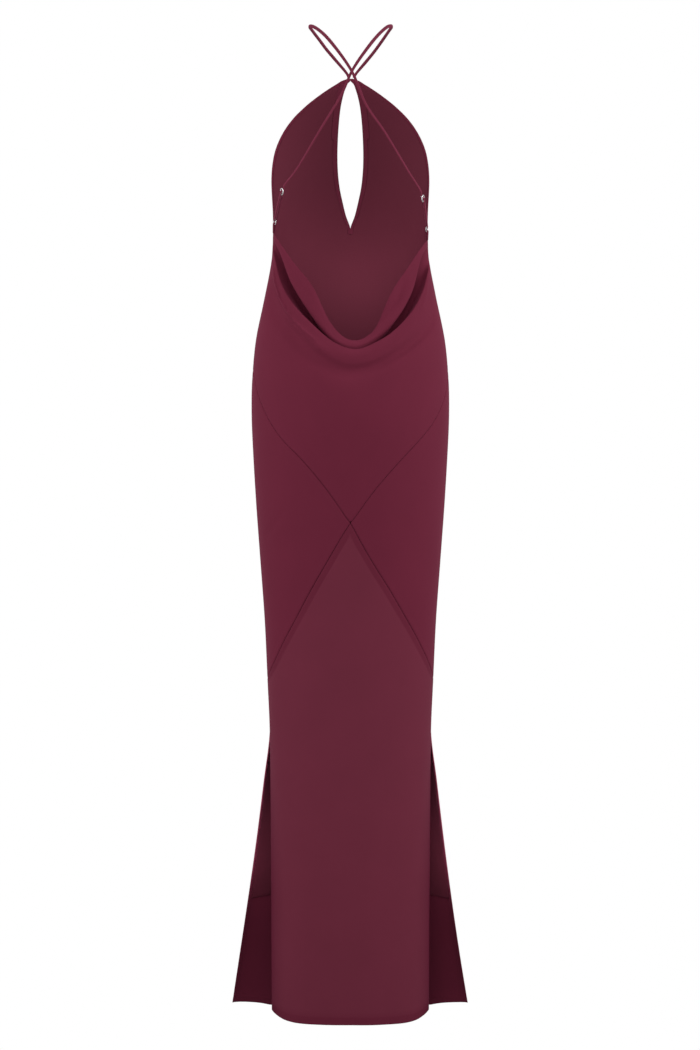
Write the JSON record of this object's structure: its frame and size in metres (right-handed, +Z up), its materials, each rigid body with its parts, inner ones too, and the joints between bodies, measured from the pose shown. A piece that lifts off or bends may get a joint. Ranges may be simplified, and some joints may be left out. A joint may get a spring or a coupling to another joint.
{
  "type": "halter maxi dress",
  "caption": "Full length halter dress with a front keyhole, open back with a draped cowl, pointed back seams, side slits and crossed adjustable straps.",
  "frame": {"origin": "inside the neck, midway between the two strap tops and level with them, which is where the wearer's neck holds the dress up", "axes": "+Z up, the wearer faces -Y and the wearer's left is +X"},
  "size_m": [0.381, 0.2341, 1.5902],
  "materials": {
    "crepe": "matte burgundy crepe with a fine pebbled grain and a soft sheen at the edges",
    "lining": "thin plain-woven lining in the same burgundy, a little greyer and smoother",
    "silver": "polished silver plated wire"
  },
  "bodies": {
    "root": {"front_panel": "crepe", "front_lining": "lining", "keyhole_facing": "crepe", "back_cowl": "crepe", "back_side_left": "crepe", "back_side_right": "crepe", "back_skirt": "crepe", "strap_left": "crepe", "strap_right": "crepe", "slider_left": "silver", "slider_right": "silver", "ring_left": "silver", "ring_right": "silver", "ring_tab_left": "crepe", "ring_tab_right": "crepe"}
  },
  "joints": []
}
